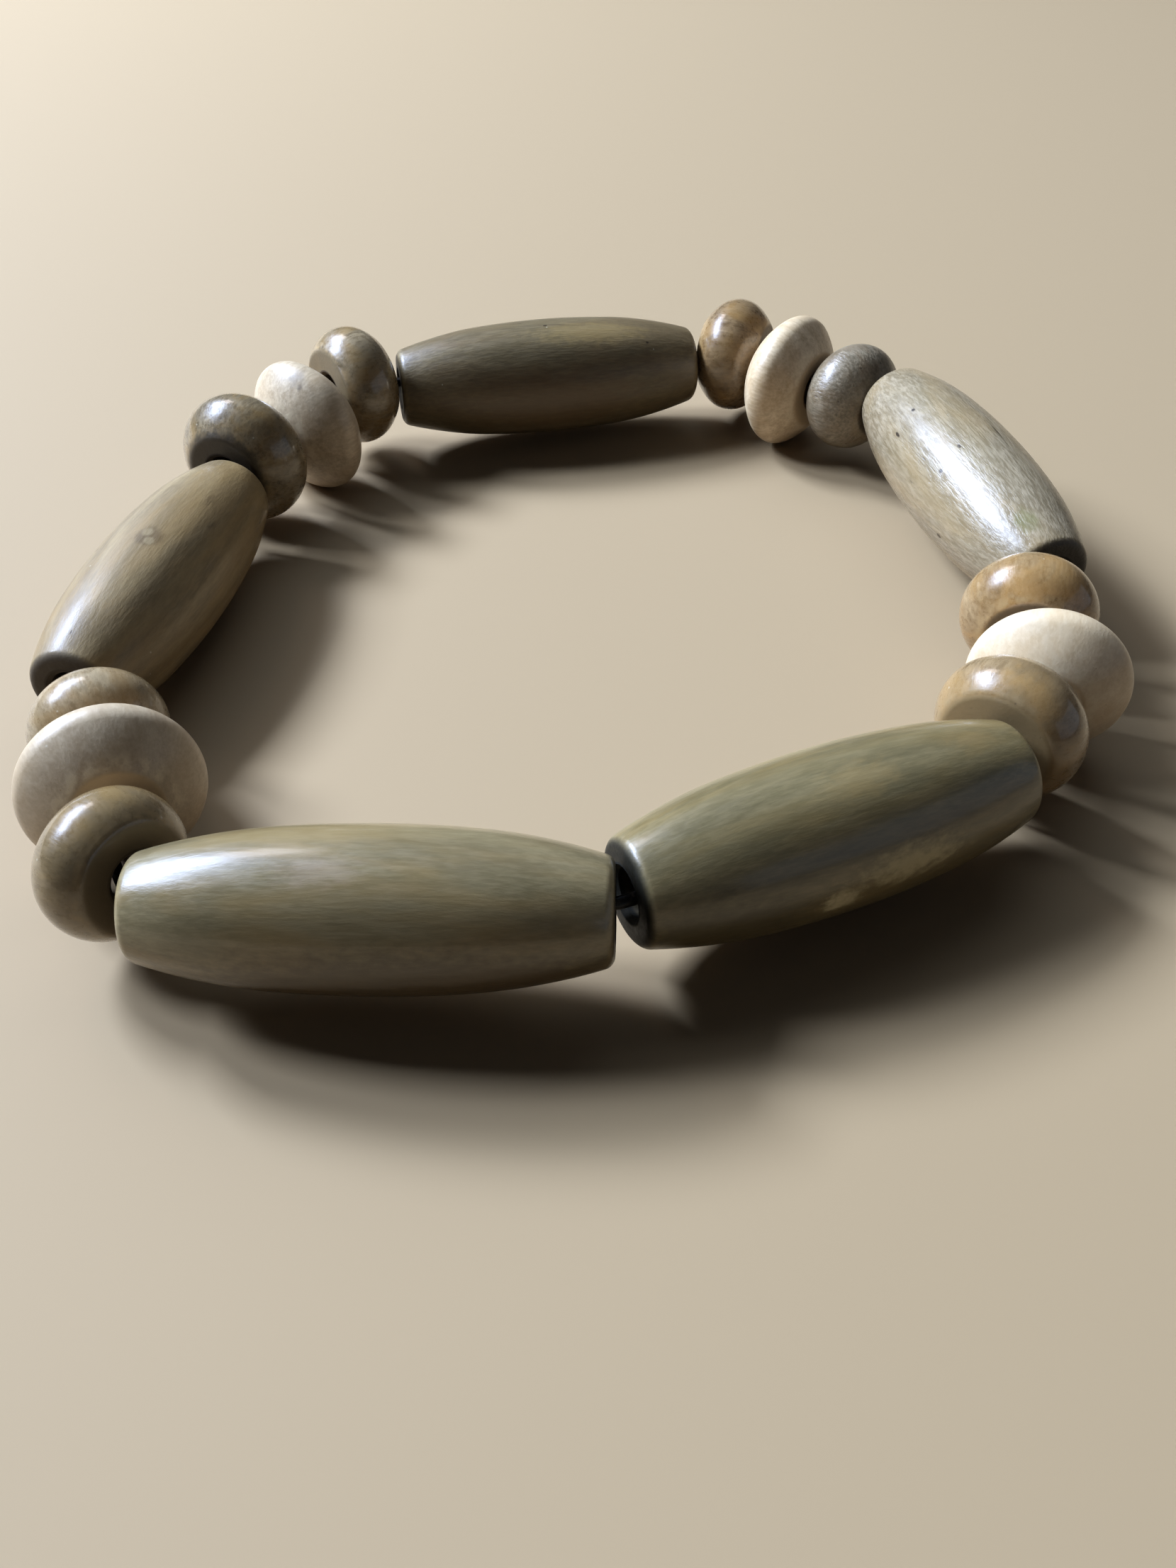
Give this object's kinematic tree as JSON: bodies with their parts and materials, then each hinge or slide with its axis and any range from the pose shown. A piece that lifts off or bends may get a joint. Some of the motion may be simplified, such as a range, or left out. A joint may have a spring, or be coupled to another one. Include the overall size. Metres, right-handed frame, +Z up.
{
  "type": "wooden bead bracelet",
  "caption": "Stretch bracelet of turned wooden beads: long olive-brown ovals between small varnished rounds and pale discs, on a closed loop of dark elastic, lying flat.",
  "frame": {"origin": "middle of the bracelet's box, on the surface that it lies on", "axes": "+Z up, through the wrist opening; +Y along the longer way across the loop; +X along the shorter"},
  "size_m": [0.0761, 0.082, 0.0121],
  "materials": {
    "olive_wood": "olive-brown stain under a thin satin varnish",
    "honey_wood": "honey-brown stain under clear gloss varnish",
    "grey_brown_wood": "grey-brown, dulled varnish",
    "pale_wood": "bare pale wood, sanded",
    "elastic": "dark round elastic thread"
  },
  "bodies": {
    "root": {"long_bead_1": "olive_wood", "long_bead_2": "olive_wood", "round_bead_1": "honey_wood", "disc_bead_1": "pale_wood", "round_bead_2": "honey_wood", "long_bead_3": "olive_wood", "round_bead_3": "grey_brown_wood", "disc_bead_2": "pale_wood", "round_bead_4": "honey_wood", "long_bead_4": "olive_wood", "round_bead_5": "honey_wood", "disc_bead_3": "pale_wood", "round_bead_6": "honey_wood", "long_bead_5": "olive_wood", "round_bead_7": "honey_wood", "disc_bead_4": "pale_wood", "round_bead_8": "honey_wood", "elastic_thread": "elastic"}
  },
  "joints": []
}
